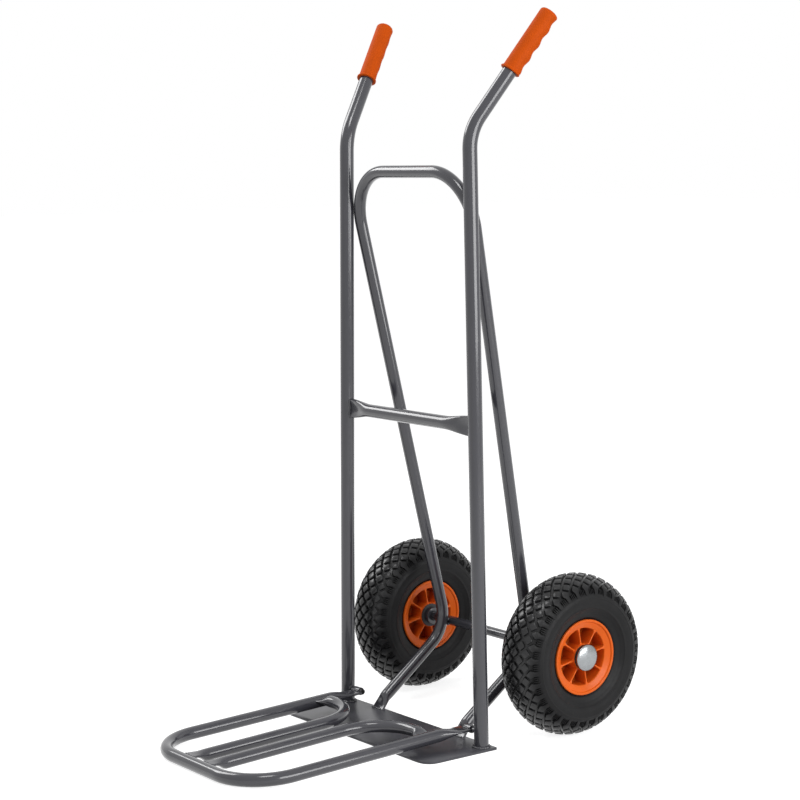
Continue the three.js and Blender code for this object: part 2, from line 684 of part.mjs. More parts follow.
function tyre() {
  const beadOuter = RIM_HALF_WIDTH - RIM_LIP_THICKNESS - GAP;
  const beadFoot = beadOuter - RIM_FLANGE_LEAN;
  const lip = rimLipRadius + 2 * GAP;
  const underTread = angleSteps(0, TREAD_ROWS * TREAD_ROW_STEP, 3).map((angle) =>
    outsidePoint(angle, TREAD_DEPTH + TREAD_FOOTING),
  );
  const sidewall = angleSteps(SHOULDER_ANGLE, SIDEWALL_END, 2).map((angle) => outsidePoint(angle));
  const inside = cavityProfile(angleSteps(0, CAVITY_END, 3));
  const half = [
    ...underTread,
    ...sidewall,
    [lip, beadOuter + RIM_LIP_THICKNESS / 2],
    [lip, beadOuter],
    [RIM_SEAT_RADIUS + GAP, beadFoot],
    [RIM_SEAT_RADIUS + GAP, beadFoot - BEAD_WIDTH],
    ...inside.toReversed(),
  ];
  const carcass = revolve([...half, ...mirrored(half).slice(1, -1)], RIM_SEGMENTS);
  return join([carcass, tread()]);
}

function innerTube() {
  const round = angleSteps(0, 2 * Math.PI, 8).slice(0, -1);
  const [skin, air] = [INNER_TUBE_CLEARANCE, INNER_TUBE_CLEARANCE + INNER_TUBE_WALL].map((inset) =>
    revolve(cavityProfile(round, inset), INNER_TUBE_SEGMENTS),
  );
  const root = RIM_SEAT_RADIUS + VALVE_ROOT;
  const stem = towardsValve(ring(VALVE_DIAMETER / 2, 0, valveEnd, root));
  const bore = towardsValve(ring(VALVE_BORE / 2, 0, valveEnd - 1, root + BEAD_WIDTH));
  return cut(join([cut(skin, [air]), stem]), [bore]);
}

function valveCap() {
  const bore = VALVE_DIAMETER / 2 + GAP;
  const radius = VALVE_CAP_DIAMETER / 2;
  const bottom = valveEnd - GAP;
  const end = bottom - VALVE_CAP_END;
  const open = end + VALVE_CAP_LENGTH;
  const profile = [[0, end], [radius, end], [radius, open], [bore, open], [bore, bottom], [0, bottom]];
  return towardsValve(revolve(profile, SMALL_SEGMENTS));
}

// A flanged bush, drawn for the outward end of the hub.
function bush() {
  const flange = HUB_HALF_LENGTH + GAP;
  return revolve(
    [
      [bushBore, flange - BUSH_LENGTH],
      [bushRadius, flange - BUSH_LENGTH],
      [bushRadius, flange],
      [bushRadius + BUSH_FLANGE_RISE, flange],
      [bushRadius + BUSH_FLANGE_RISE, flange + BUSH_FLANGE],
      [bushBore, flange + BUSH_FLANGE],
    ],
    SMALL_SEGMENTS,
  );
}

// A domed cap with a sleeve inside that grips the axle.
function axleCap() {
  const dome = angleSteps(0, Math.PI / 2, 2);
  const domeHeight = AXLE_CAP_HEIGHT - AXLE_CAP_EDGE;
  const outer = dome.map((a) => [AXLE_CAP_RADIUS * Math.cos(a), AXLE_CAP_EDGE + domeHeight * Math.sin(a)]);
  const inner = dome.map((a) => [
    (AXLE_CAP_RADIUS - AXLE_CAP_WALL) * Math.cos(a),
    AXLE_CAP_EDGE + (domeHeight - AXLE_CAP_WALL) * Math.sin(a),
  ]);
  const under = AXLE_CAP_HEIGHT - AXLE_CAP_WALL;
  const shell = revolve(
    [[AXLE_CAP_RADIUS, 0], ...outer.slice(0, -1), [0, AXLE_CAP_HEIGHT], [0, under],
      ...inner.slice(0, -1).reverse(), [AXLE_CAP_RADIUS - AXLE_CAP_WALL, 0]],
    AXLE_CAP_SEGMENTS,
  );
  const sleeve = ring(bushBore + AXLE_CAP_WALL, bushBore, 0, under, AXLE_CAP_SEGMENTS);
  return join([shell, sleeve]);
}

// ---------- assembly ----------

function part(name, geometry, material) {
  const mesh = new THREE.Mesh(geometry, material.clone());
  mesh.name = name;
  return mesh;
}

function frame() {
  const group = new THREE.Group();
  for (const { name, side } of SIDES) {
    group.add(part(`rail_${name}`, rail(side), frameEnamel));
    group.add(part(`grip_${name}`, grip(side), gripPlastic));
    group.add(part(`hinge_pin_${name}`, hingePin(side), frameEnamel));
    group.add(part(`hinge_cap_${name}`, hingeCap(side), blackPlastic));
  }
  group.add(part("crossbar", crossbar(), frameEnamel));
  group.add(part("rear_brace", rearBrace(), frameEnamel));
  group.add(part("toe_plate", toePlate(), frameEnamel));
  return group;
}

// The axle and what is pushed on it, drawn round its own centre.
function axle() {
  const group = new THREE.Group();
  group.position.set(0, axleBack, axleHeight);
  const end = wheelX + axleEnd;
  group.add(part("axle", ring(axleRadius, 0, -end, end), frameEnamel));
  for (const { name, side } of SIDES) {
    const outwards = side > 0 ? 0 : Math.PI;
    const collarFace = wheelX - bushFace - GAP;
    const collar = ring(bushBore + COLLAR_WALL, bushBore, collarFace - COLLAR_LENGTH, collarFace);
    const washer = ring(bushBore + WASHER_WALL, bushBore, washerFace - WASHER_THICKNESS, washerFace);
    const cap = axleCap().translate(wheelX + axleCapFace, 0, 0);
    group.add(part(`axle_collar_${name}`, collar.rotateZ(outwards), frameEnamel));
    group.add(part(`axle_washer_${name}`, washer.translate(wheelX, 0, 0).rotateZ(outwards), zincPlate));
    group.add(part(`axle_cap_${name}`, cap.rotateZ(outwards), zincPlate));
  }
  return group;
}

function wheel({ name, side }) {
  const group = new THREE.Group();
  group.position.set(side * wheelX, axleBack, axleHeight);
  group.add(part(`tyre_${name}`, tyre(), tyreRubber));
  group.add(part(`inner_tube_${name}`, innerTube(), tubeRubber));
  group.add(part(`valve_cap_${name}`, valveCap(), blackPlastic));
  group.add(part(`rim_${name}`, rim(), rimPlastic));
  const [outer, inner] = side > 0 ? [0, Math.PI] : [Math.PI, 0];
  group.add(part(`bush_outer_${name}`, bush().rotateZ(outer), bushNylon));
  group.add(part(`bush_inner_${name}`, bush().rotateZ(inner), bushNylon));
  return group;
}

function toeExtension() {
  const group = new THREE.Group();
  group.position.set(0, 0, HINGE_HEIGHT);
  group.rotation.x = extensionSlope;
  group.add(part("extension_frame", extensionFrame(), frameEnamel));
  for (const { name, side } of SIDES) {
    group.add(part(`inner_bar_${name}`, innerBar(side), frameEnamel));
  }
  return group;
}

const handTruck = new THREE.Group();
handTruck.add(frame(), axle(), ...SIDES.map(wheel), toeExtension());

export default handTruck;
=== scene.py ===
"""Looks for the hand truck: tubes with pressed ends and welds, moulded grips and rims, treaded tyres.

Shapes are worked out in millimetres and become metres when a mesh is made. The toe points to -Y.
"""

import math

import bpy
import numpy as np
from mathutils import Matrix, Vector


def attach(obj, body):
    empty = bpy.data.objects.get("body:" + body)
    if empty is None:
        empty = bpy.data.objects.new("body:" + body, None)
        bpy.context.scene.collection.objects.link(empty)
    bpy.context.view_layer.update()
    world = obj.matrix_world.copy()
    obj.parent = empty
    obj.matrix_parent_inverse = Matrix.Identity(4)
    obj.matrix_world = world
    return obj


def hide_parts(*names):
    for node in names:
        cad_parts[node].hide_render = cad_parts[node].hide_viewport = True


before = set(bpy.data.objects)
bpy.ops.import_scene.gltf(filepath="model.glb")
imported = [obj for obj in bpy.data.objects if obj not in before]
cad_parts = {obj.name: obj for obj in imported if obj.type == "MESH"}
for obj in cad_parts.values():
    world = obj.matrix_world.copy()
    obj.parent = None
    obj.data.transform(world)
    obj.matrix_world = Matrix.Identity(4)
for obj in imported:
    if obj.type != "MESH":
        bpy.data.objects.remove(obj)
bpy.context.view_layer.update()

MM = 0.001

# ---------- sizes shared with the CAD model ----------

SIDES = {"left": -1, "right": 1}
GAP = 0.3  # between two pieces that touch
PRESSED_HALF = 1.7  # half the thickness of a tube's end that is pressed flat
RAIL_RADIUS, BAR_RADIUS = 11.5, 10
FOOT_X, BEND_X, BEND_Z = 179, 160, 957  # a rail's centre line at the floor, and where its handle starts
RAIL_BEND = 85
HANDLE_LEAN, HANDLE_FLARE = math.radians(33.4), math.radians(15.5)  # backwards and outwards
GRIP_LENGTH = 111
FINGER_TURN = math.radians(34)  # the finger side faces down and this much outwards
CROSSBAR_Z = 506
BRACE_FOOT_X = 108
BRACE_CORNERS = [(153.227, 1.5, 896), (111, 159.677, 121), (BRACE_FOOT_X, 26, 21), (BRACE_FOOT_X, 12, 4)]
BRACE_BENDS = [20, 65, 85, 85, 65, 20]
PLATE_FRONT, PLATE_REAR, PLATE_TOP = -122, 17, 4
PLATE_MARGIN, PLATE_CORNER = 18, 26  # beyond a rail's centre line, and the front corners' radius
AXLE_Y, AXLE_Z, AXLE_RADIUS = 169, 130, 8
WHEEL_X = 198  # a wheel's middle plane
HINGE_Z = 27
ARM_X, EYE_X = 145, 149
EXTENSION_REACH, EXTENSION_BEND = 411, 82
EXTENSION_SLOPE = math.asin((HINGE_Z - BAR_RADIUS - GAP) / EXTENSION_REACH)
INNER_BAR_BEND = 80

# ---------- sizes read closer from the photo than the CAD model's ---------------

HANDLE_LENGTH = 221  # from the start of the handle to the end of the grip
CROSSBAR_RADIUS, EXTENSION_RADIUS, INNER_BAR_RADIUS = 10.8, 10.3, 9.6
CROSSBAR_DISH = 3.5  # how far each face of its pressed ends rises towards the edges
INNER_BAR_X = 27
HUB_RADIUS = 21

# ---------- shapes: (vertices, faces) ----------


def unit(v):
    return np.asarray(v, float) / np.linalg.norm(v)


def turned(v, axis, angle):
    """v turned round a unit axis."""
    v, c, s = np.asarray(v, float), math.cos(angle), math.sin(angle)
    return v * c + np.cross(axis, v) * s + axis * (axis @ v) * (1 - c)


def smoothstep(x, low, high):
    t = np.clip((x - low) / (high - low), 0, 1)
    return t * t * (3 - 2 * t)


def merged(shapes):
    verts, faces, first = [], [], 0
    for v, f in shapes:
        verts.append(v)
        faces += [tuple(i + first for i in face) for face in f]
        first += len(v)
    return np.vstack(verts), faces


def moved(shape, matrix):
    v, f = shape
    m = np.array(matrix)
    v = v @ m[:3, :3].T + m[:3, 3]
    if np.linalg.det(m[:3, :3]) < 0:
        f = [face[::-1] for face in f]
    return v, f


def tube_skin(rings, sides, closed=False):
    """Faces over rings of vertices, with flat ends where the rings don't close on themselves."""
    faces = []
    for i in range(rings if closed else rings - 1):
        a, b = i * sides, (i + 1) % rings * sides
        for j in range(sides):
            k = (j + 1) % sides
            faces.append((a + j, a + k, b + k, b + j))
    if not closed:
        faces.append(tuple(range(sides))[::-1])
        faces.append(tuple(range((rings - 1) * sides, rings * sides)))
    return faces


RUN_STEP, BEND_STEP = 6.0, math.radians(3)  # between two rings of a tube


def bent_path(corners, radii=()):
    """Points and directions along straight runs with a round bend at each inner corner."""
    corners = [np.asarray(c, float) for c in corners]
    points, tangents = [corners[0]], [unit(corners[1] - corners[0])]

    def run(end, direction):
        start = points[-1]
        count = max(1, math.ceil(np.linalg.norm(end - start) / RUN_STEP))
        for k in range(1, count + 1):
            points.append(start + (end - start) * k / count)
            tangents.append(direction)

    for (before, corner, after), radius in zip(zip(corners, corners[1:], corners[2:]), radii):
        d0, d1 = unit(corner - before), unit(after - corner)
        turn = math.acos(np.clip(d0 @ d1, -1, 1))
        axis = unit(np.cross(d0, d1))
        entry = corner - d0 * radius * math.tan(turn / 2)
        run(entry, d0)
        spoke = np.cross(d0, axis) * radius
        count = math.ceil(turn / BEND_STEP)
        for k in range(1, count + 1):
            points.append(entry - spoke + turned(spoke, axis, turn * k / count))
            tangents.append(turned(d0, axis, turn * k / count))
    run(corners[-1], unit(corners[-1] - corners[-2]))
    return np.array(points), np.array(tangents)


def transported(tangents, normal):
    """A normal carried along the path without twist, from the given one at its start."""
    u = unit(normal - (normal @ tangents[0]) * tangents[0])
    out = [u]
    for a, b in zip(tangents, tangents[1:]):
        axis = np.cross(a, b)
        size = np.linalg.norm(axis)
        if size > 1e-9:
            u = turned(u, axis / size, math.atan2(size, a @ b))
        out.append(u)
    return np.array(out)


def tube(path, radius, sides=40, flat=0, taper=0, normal=(0, 0, 1), lift=0, dish=0):
    """A round tube along a path. Where it has a taper, its ends are pressed flat across the normal.

    They are fully flat over one length and run out over the taper, which may be a pair for start and end.
    The lift raises the first end, and the dish raises both faces of the ends towards their edges.
    """
    points, tangents = path
    normal = np.asarray(normal, float)
    first = normal if abs(normal @ tangents[0]) < 0.9 else np.array([1.0, 0, 0])
    u = transported(tangents, first)
    v = np.cross(tangents, u)
    angles = 2 * np.pi * np.arange(sides) / sides
    offsets = radius * (u[:, None] * np.cos(angles)[:, None] + v[:, None] * np.sin(angles)[:, None])
    if taper:
        steps = np.linalg.norm(np.diff(points, axis=0), axis=1)
        along = np.concatenate([[0], np.cumsum(steps)])
        tapers = (taper, taper) if np.isscalar(taper) else taper
        shares = [1 - smoothstep(d, flat, flat + t) for d, t in zip((along, along[-1] - along), tapers)]
        share = np.maximum(*shares)
        pressed = np.nonzero(share > 0)[0]
        t = tangents[pressed]
        thin = normal - (t @ normal)[:, None] * t
        thin /= np.linalg.norm(thin, axis=1)[:, None]
        wide = np.cross(t, thin)
        off = offsets[pressed]
        across, up = (off * wide[:, None]).sum(2), (off * thin[:, None]).sum(2)
        half_width = (math.pi * (radius - PRESSED_HALF) + 2 * PRESSED_HALF) / 2
        flat_up = np.clip(2 * up / radius, -1, 1) * (PRESSED_HALF + dish * (across / radius) ** 2)
        s = share[pressed][:, None]
        across = across * (1 - s) + across / radius * half_width * s
        up = up * (1 - s) + (flat_up + lift * (along[pressed] < along[-1] / 2)[:, None]) * s
        offsets[pressed] = wide[:, None] * across[:, :, None] + thin[:, None] * up[:, :, None]
    verts = (points[:, None] + offsets).reshape(-1, 3)
    return verts, tube_skin(len(points), sides)


def rounded(points, steps=3):
    """A loop of (a, b, fillet) points with each corner rounded. A fillet gives way to a short side."""
    out = []
    for i, (a, b, fillet) in enumerate(points):
        here = np.array([a, b], float)
        before = np.array(points[i - 1][:2], float)
        after = np.array(points[(i + 1) % len(points)][:2], float)
        reach = min(fillet, 0.45 * np.linalg.norm(before - here), 0.45 * np.linalg.norm(after - here))
        if reach <= 0:
            out.append(here)
            continue
        start, end = here + unit(before - here) * reach, here + unit(after - here) * reach
        for t in np.linspace(0, 1, steps + 1):
            out.append((1 - t) ** 2 * start + 2 * t * (1 - t) * here + t * t * end)
    return np.array(out)


def lathe(profile, segments):
    """A loop of (radius, x) turned round the X axis. Points on the axis become one vertex."""
    profile = np.asarray(profile, float)
    nxt = np.roll(profile, -1, axis=0)
    if (profile[:, 0] * nxt[:, 1] - nxt[:, 0] * profile[:, 1]).sum() < 0:
        profile = profile[::-1]
    verts, rings = [], []
    angles = 2 * np.pi * np.arange(segments) / segments
    for radius, x in profile:
        first = len(verts)
        if radius < 1e-6:
            verts.append((x, 0, 0))
            rings.append([first] * segments)
        else:
            verts += [(x, radius * math.cos(a), radius * math.sin(a)) for a in angles]
            rings.append(list(range(first, first + segments)))
    faces = []
    for low, high in zip(rings, rings[1:] + rings[:1]):
        if low[0] == low[1] and high[0] == high[1]:
            continue
        for j in range(segments):
            k = (j + 1) % segments
            face = (low[j], low[k], high[k], high[j])
            faces.append(tuple(dict.fromkeys(face)))
    return np.array(verts, float), faces


def outline_solid(outline, levels):
    """A closed solid from an outline in XY, drawn at each level as (z, inset towards the middle)."""
    outline = np.asarray(outline, float)
    edges = np.roll(outline, -1, axis=0) - outline
    normals = np.stack([edges[:, 1], -edges[:, 0]], 1)
    normals /= np.linalg.norm(normals, axis=1)[:, None]
    corner = normals + np.roll(normals, 1, axis=0)
    corner /= (corner * normals).sum(1)[:, None]
    rings = [np.column_stack([outline - corner * inset, np.full(len(outline), z)])
             for z, inset in levels]
    return np.vstack(rings), tube_skin(len(levels), len(outline))


BEAD_SIDES, BEAD_STEP, RIPPLE = 10, 0.7, 2.0


def bead(points, radius, closed=False):
    """A weld bead along points: overlapping ripples with rounded ends."""
    points = np.asarray(points, float)
    if closed:
        points = np.vstack([points, points[:1]])
    lengths = np.concatenate([[0], np.cumsum(np.linalg.norm(np.diff(points, axis=0), axis=1))])
    count = max(8, int(lengths[-1] / BEAD_STEP))
    at = np.linspace(0, lengths[-1], count + 1)
    if closed:
        at = at[:-1]
    centre = np.stack([np.interp(at, lengths, points[:, i]) for i in range(3)], 1)
    if closed:
        tangents = np.roll(centre, -1, axis=0) - np.roll(centre, 1, axis=0)
    else:
        tangents = np.gradient(centre, axis=0)
    tangents /= np.linalg.norm(tangents, axis=1)[:, None]
    off_axis = np.array([0.31, 0.52, 0.79])  # along none of the welds
    u = np.cross(tangents, off_axis)
    u /= np.linalg.norm(u, axis=1)[:, None]
    v = np.cross(tangents, u)
    wobble = 0.05 * np.sin(at * 0.9 + radius) + 0.04 * np.sin(at * 2.3)
    size = radius * (0.88 + 0.16 * np.abs(np.sin(np.pi * at / RIPPLE)) + wobble)
    if not closed:
        end = np.minimum(at, lengths[-1] - at)
        size = size * np.sqrt(np.clip(1 - (1 - np.clip(end / radius, 0, 1)) ** 2, 0.02, 1))
    angles = 2 * np.pi * np.arange(BEAD_SIDES) / BEAD_SIDES
    rings = u[:, None] * np.cos(angles)[:, None] + v[:, None] * np.sin(angles)[:, None]
    verts = centre[:, None] + rings * size[:, None, None]
    return verts.reshape(-1, 3), tube_skin(len(centre), BEAD_SIDES, closed)


# ---------- finishes ----------

PATCHES = (0.3, 0.7)  # the noise's range from the darkest patch to the palest
COAT_ROUGHNESS = 0.08
BUMP_DEPTH = 0.0001  # metres
POCKET_DEPTH = (0.002, 0.027)  # metres from the rim's middle plane, over which the pockets' painted shade fades
TREAD_EDGE = (0.108, 0.12)  # metres from the axle, where the tread's painted sheen and polish set in


def finish(name, color, *, roughness, bump, spread=0.06, scale=30, rough_spread=0.04, specular=0.5,
           bump_scale=1500, metallic=0.0, coat=0.0, shade=None, polish=None):
    """A procedural finish: uneven colour and gloss, and a fine surface texture. Scales are per metre."""
    made = bpy.data.materials.new(name)
    made.use_nodes = True
    nodes, links = made.node_tree.nodes, made.node_tree.links
    shader = nodes["Principled BSDF"]
    shader.inputs["Metallic"].default_value = metallic
    shader.inputs["Specular IOR Level"].default_value = specular
    shader.inputs["Coat Weight"].default_value = coat
    shader.inputs["Coat Roughness"].default_value = COAT_ROUGHNESS
    place = nodes.new("ShaderNodeTexCoord").outputs["Object"]

    def noise(size, detail=3.0):
        node = nodes.new("ShaderNodeTexNoise")
        node.inputs["Scale"].default_value = size
        node.inputs["Detail"].default_value = detail
        links.new(place, node.inputs["Vector"])
        return node.outputs["Fac"]

    patches = noise(scale)
    ramp = nodes.new("ShaderNodeValToRGB")
    for element, position, share in zip(ramp.color_ramp.elements, PATCHES, (1 - spread, 1 + spread)):
        element.position = position
        element.color = (*(min(1, c * share) for c in color), 1)
    links.new(patches, ramp.inputs["Fac"])
    # A shade scales the base colour: painted shade in the rim's pockets, a painted sheen on the tyre's tread.
    if shade:
        scaled = nodes.new("ShaderNodeVectorMath")
        scaled.operation = "SCALE"
        links.new(ramp.outputs["Color"], scaled.inputs["Vector"])
        links.new(shade(nodes, links, place), scaled.inputs["Scale"])
        links.new(scaled.outputs["Vector"], shader.inputs["Base Color"])
    else:
        links.new(ramp.outputs["Color"], shader.inputs["Base Color"])
    gloss = nodes.new("ShaderNodeMapRange")
    gloss.inputs["From Min"].default_value = PATCHES[0]
    gloss.inputs["From Max"].default_value = PATCHES[1]
    gloss.inputs["To Min"].default_value = roughness - rough_spread
    gloss.inputs["To Max"].default_value = roughness + rough_spread
    links.new(noise(scale * 3), gloss.inputs["Value"])
    links.new(gloss.outputs["Result"], shader.inputs["Roughness"])
    if polish:
        low, high, shine = polish(nodes, links, place)
        links.new(low, gloss.inputs["To Min"])
        links.new(high, gloss.inputs["To Max"])
        links.new(shine, shader.inputs["Specular IOR Level"])
    relief = nodes.new("ShaderNodeBump")
    relief.inputs["Strength"].default_value = bump
    relief.inputs["Distance"].default_value = BUMP_DEPTH
    links.new(noise(bump_scale, 2.0), relief.inputs["Height"])
    links.new(relief.outputs["Normal"], shader.inputs["Normal"])
    return made


def mapped(nodes, links, value, source, share):
    """A distance in metres, mapped softly from its own range to another one."""
    made = nodes.new("ShaderNodeMapRange")
    made.interpolation_type = "SMOOTHSTEP"
    for name, number in zip(("From Min", "From Max", "To Min", "To Max"), (*source, *share)):
        made.inputs[name].default_value = number
    links.new(value, made.inputs["Value"])
    return made.outputs["Result"]


def from_axle(nodes, links, place, keep):
    """How far a point is from the wheel's centre, along the kept axes."""
    folded = nodes.new("ShaderNodeVectorMath")
    folded.operation = "ABSOLUTE"
    links.new(place, folded.inputs[0])
    flat = nodes.new("ShaderNodeVectorMath")
    flat.operation = "MULTIPLY"
    links.new(folded.outputs["Vector"], flat.inputs[0])
    flat.inputs[1].default_value = keep
    far = nodes.new("ShaderNodeVectorMath")
    far.operation = "DISTANCE"
    links.new(flat.outputs["Vector"], far.inputs[0])
    far.inputs[1].default_value = tuple(k * c * MM for k, c in zip(keep, (WHEEL_X, AXLE_Y, AXLE_Z)))
    return far.outputs["Value"]


def pocket_painted_shade(nodes, links, place):
    """Painted shade: the pockets between the spokes get darker with depth."""
    return mapped(nodes, links, from_axle(nodes, links, place, (1, 0, 0)), POCKET_DEPTH, (0.5, 1))


def tread_painted_sheen(nodes, links, place):
    """Painted sheen: the tread's base colour is paler than the sidewalls'."""
    return mapped(nodes, links, from_axle(nodes, links, place, (0, 1, 1)), TREAD_EDGE, (1, 1.5))


def tread_polish(nodes, links, place):
    """Least and most roughness, and specular level, each from the dull sidewall to the polished tread."""
    far = from_axle(nodes, links, place, (0, 1, 1))
    ranges = ((0.42, 0.22), (0.52, 0.32), (0.16, 0.4))
    return [mapped(nodes, links, far, TREAD_EDGE, share) for share in ranges]


def srgb(r, g, b):
    """A colour of 0 to 255, as the linear numbers that a shader takes."""
    return tuple((c / 255 / 12.92) if c < 10.3 else ((c / 255 + 0.055) / 1.055) ** 2.4
                 for c in (r, g, b))


enamel = finish("frame_enamel", srgb(62, 62, 68), spread=0.03, scale=25, roughness=0.17,
                rough_spread=0.02, specular=0.45, bump=0.01, bump_scale=1800, coat=0.4)
sheet = finish("plate_enamel", srgb(72, 72, 77), spread=0.04, scale=25, roughness=0.34,
               rough_spread=0.01, specular=0.3, bump=0.04)
vinyl = finish("grip_vinyl", srgb(198, 78, 8), spread=0.04, scale=60, roughness=0.6,
               specular=0.08, bump=0.12)
# the rim's base colour carries painted shade in its pockets
moulded = finish("rim_plastic", srgb(229, 101, 27), spread=0.03, scale=50, roughness=0.33,
                 specular=0.2, bump=0.08, shade=pocket_painted_shade)
# the tyre's base colour carries a painted sheen on the tread
rubber = finish("tyre_rubber", srgb(24, 24, 25), spread=0.15, scale=45, roughness=0.43,
                rough_spread=0.06, specular=0.16, shade=tread_painted_sheen, polish=tread_polish,
                bump=0.25, bump_scale=900)
tube_rubber = finish("tube_rubber", srgb(24, 24, 25), spread=0.1, roughness=0.6, specular=0.2, bump=0.3)
zinc = finish("zinc_plate", srgb(149, 152, 154), spread=0.08, scale=90, roughness=0.25,
              rough_spread=0.05, bump=0.05, metallic=1.0)
nylon = finish("bush_nylon", srgb(52, 53, 56), roughness=0.45, specular=0.3, bump=0.2)
black = finish("black_plastic", srgb(18, 19, 21), spread=0.1, roughness=0.42, specular=0.3, bump=0.2)

# ---------- pieces ----------


def piece(name, shape, body, material, slot, *nodes, sharp=38):
    """Makes a mesh that rides on a body and replaces the CAD nodes given. Edges past the angle are sharp."""
    verts, faces = shape
    mesh = bpy.data.meshes.new(name)
    mesh.from_pydata((verts * MM).tolist(), [], faces)
    mesh.polygons.foreach_set("use_smooth", [True] * len(faces))
    mesh.set_sharp_from_angle(angle=math.radians(sharp))
    mesh.materials.append(material)
    made = bpy.data.objects.new(name, mesh)
    bpy.context.scene.collection.objects.link(made)
    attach(made, body)
    if nodes:
        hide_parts(*nodes)


def rail_x(z):
    """How far a rail's centre line is from the middle at this height."""
    return FOOT_X + (BEND_X - FOOT_X) * z / BEND_Z


def handle_direction(side):
    return unit((side * math.tan(HANDLE_FLARE), math.tan(HANDLE_LEAN), 1))


def rail(side):
    """One bent tube, from 1 mm inside the toe plate to 8 mm short of the grip's end."""
    bend = np.array([side * BEND_X, 0, BEND_Z])
    tip = bend + handle_direction(side) * (HANDLE_LENGTH - 8)
    path = bent_path([(side * FOOT_X, 0, PLATE_TOP - 1), bend, tip], [RAIL_BEND])
    return tube(path, RAIL_RADIUS, sides=48)


def grip(side):
    """A moulded grip: thin collar, four finger ridges on one side and a domed end with a vent hole."""
    body, collar = 14, 16.25
    dome_start, dome_height = 105.2, 5.8
    ridges, ridge_height, first, last = 4, 2.2, 5, 108
    sides = 72
    rows = [(RAIL_RADIUS + 0.2, 0.5), (RAIL_RADIUS + 0.8, 0), (collar - 0.8, 0), (collar, 0.9),
            (collar, 2.2), (collar - 0.8, 3), (body + 0.9, 3.6)]
    rows += [(body, z) for z in np.linspace(first, dome_start, 110)]
    rows += [(body * math.cos(a) ** 0.5, dome_start + dome_height * math.sin(a))
             for a in np.radians([15, 30, 45, 58, 70, 80])]
    rows += [(2.0, GRIP_LENGTH), (1.5, GRIP_LENGTH - 0.5), (1.4, GRIP_LENGTH - 4)]
    angles = 2 * np.pi * np.arange(sides) / sides
    rings = []
    for radius, z in rows:
        swell = np.zeros(sides)
        if z >= first:
            wave = (1 + math.cos(2 * math.pi * ridges * (z - first) / (last - first))) / 2
            one_side = np.clip(np.sin(angles), 0, 1) ** 2
            swell = ridge_height * min(1, radius / body) ** 4 * wave * one_side
        swollen = radius + swell
        rings.append(np.column_stack([swollen * np.cos(angles), swollen * np.sin(angles), np.full(sides, z)]))
    axis = handle_direction(side)
    backward = np.array([0, 1.0, 0])  # its part across the leaning handle faces down
    fingers = turned(unit(backward - (backward @ axis) * axis), axis, -side * FINGER_TURN)
    seat = np.array([side * BEND_X, 0, BEND_Z]) + axis * (HANDLE_LENGTH - GRIP_LENGTH)
    basis = np.eye(4)
    basis[:3, :3] = np.column_stack([np.cross(fingers, axis), fingers, axis])
    basis[:3, 3] = seat
    verts, faces = np.vstack(rings), tube_skin(len(rings), sides)
    return moved((verts, faces), basis)


def brace_path():
    """From the left foot over the top bar to the right foot, each foot drawn 4 mm on into the plate."""
    right = [np.array(p, float) for p in BRACE_CORNERS]
    right[3] = right[3] + unit(right[3] - right[2]) * 4
    left = [p * (-1, 1, 1) for p in right][::-1]
    return bent_path(left + right, BRACE_BENDS)


def rear_brace():
    """The brace's tube, with its feet cut off level 1.2 mm inside the plate."""
    verts, faces = tube(brace_path(), BAR_RADIUS, flat=9, taper=22)
    verts[:, 2] = np.maximum(verts[:, 2], PLATE_TOP - 1.2)
    return verts, faces


def crossbar():
    reach = rail_x(CROSSBAR_Z) - 4
    path = bent_path([(-reach, 0, CROSSBAR_Z), (reach, 0, CROSSBAR_Z)])
    return tube(path, CROSSBAR_RADIUS, flat=9, taper=(52, 62), normal=(0, 1, 0), dish=CROSSBAR_DISH)


def toe_plate():
    half = FOOT_X + PLATE_MARGIN
    outline = [(half, PLATE_REAR, 2), (half, PLATE_FRONT, PLATE_CORNER),
               (-half, PLATE_FRONT, PLATE_CORNER), (-half, PLATE_REAR, 2)]
    levels = [(0, 0.5), (0.25, 0.13), (0.7, 0), (3.3, 0), (3.75, 0.13), (PLATE_TOP, 0.5)]
    return outline_solid(rounded(outline, steps=10)[::-1], levels)


# places what is drawn level, with the hinge as its origin
IN_EXTENSION = Matrix.Translation((0, 0, HINGE_Z)) @ Matrix.Rotation(EXTENSION_SLOPE, 4, "X")


def extension_frame():
    right = [(ARM_X, -EXTENSION_REACH, 0), (ARM_X, -5.5, 0)]
    left = [(-x, y, z) for x, y, z in right][::-1]
    arms = tube(bent_path(left + right, [EXTENSION_BEND] * 2), EXTENSION_RADIUS, flat=6.5, taper=50)
    radius, bore, half = 6.5, 4.3, 8
    section = [(radius, -half, 0.6), (radius, half, 0.6), (bore, half, 0.3), (bore, -half, 0.3)]
    eye = lathe(rounded(section), 48)
    eyes = [(eye[0] + (side * EYE_X, 0, 0), eye[1]) for side in SIDES.values()]
    return moved(merged([arms, *eyes]), IN_EXTENSION)


def inner_bar(side):
    """A bar from the front tube towards the hinge, hooked round into the arm."""
    corners = [(side * INNER_BAR_X, -EXTENSION_REACH, 2), (side * INNER_BAR_X, -55.6, 4),
               (side * ARM_X, -84.77, 4)]
    path = bent_path(corners, [INNER_BAR_BEND])
    return moved(tube(path, INNER_BAR_RADIUS, flat=11, taper=(24, 17), lift=5), IN_EXTENSION)


def on_hinge(side, section, steps=3):
    """A section of (radius, x, fillet) for the right side, turned round this side's hinge."""
    place = Matrix.Translation((0, 0, HINGE_Z)) @ Matrix.Diagonal((side, 1, 1, 1))
    return moved(lathe(rounded(section, steps), 40), place)


def hinge_pin(side):
    radius, inner, outer = 4, 136.9, FOOT_X - 8
    return on_hinge(side, [(0, inner, 0), (radius, inner, 1), (radius, outer, 0), (0, outer, 0)])


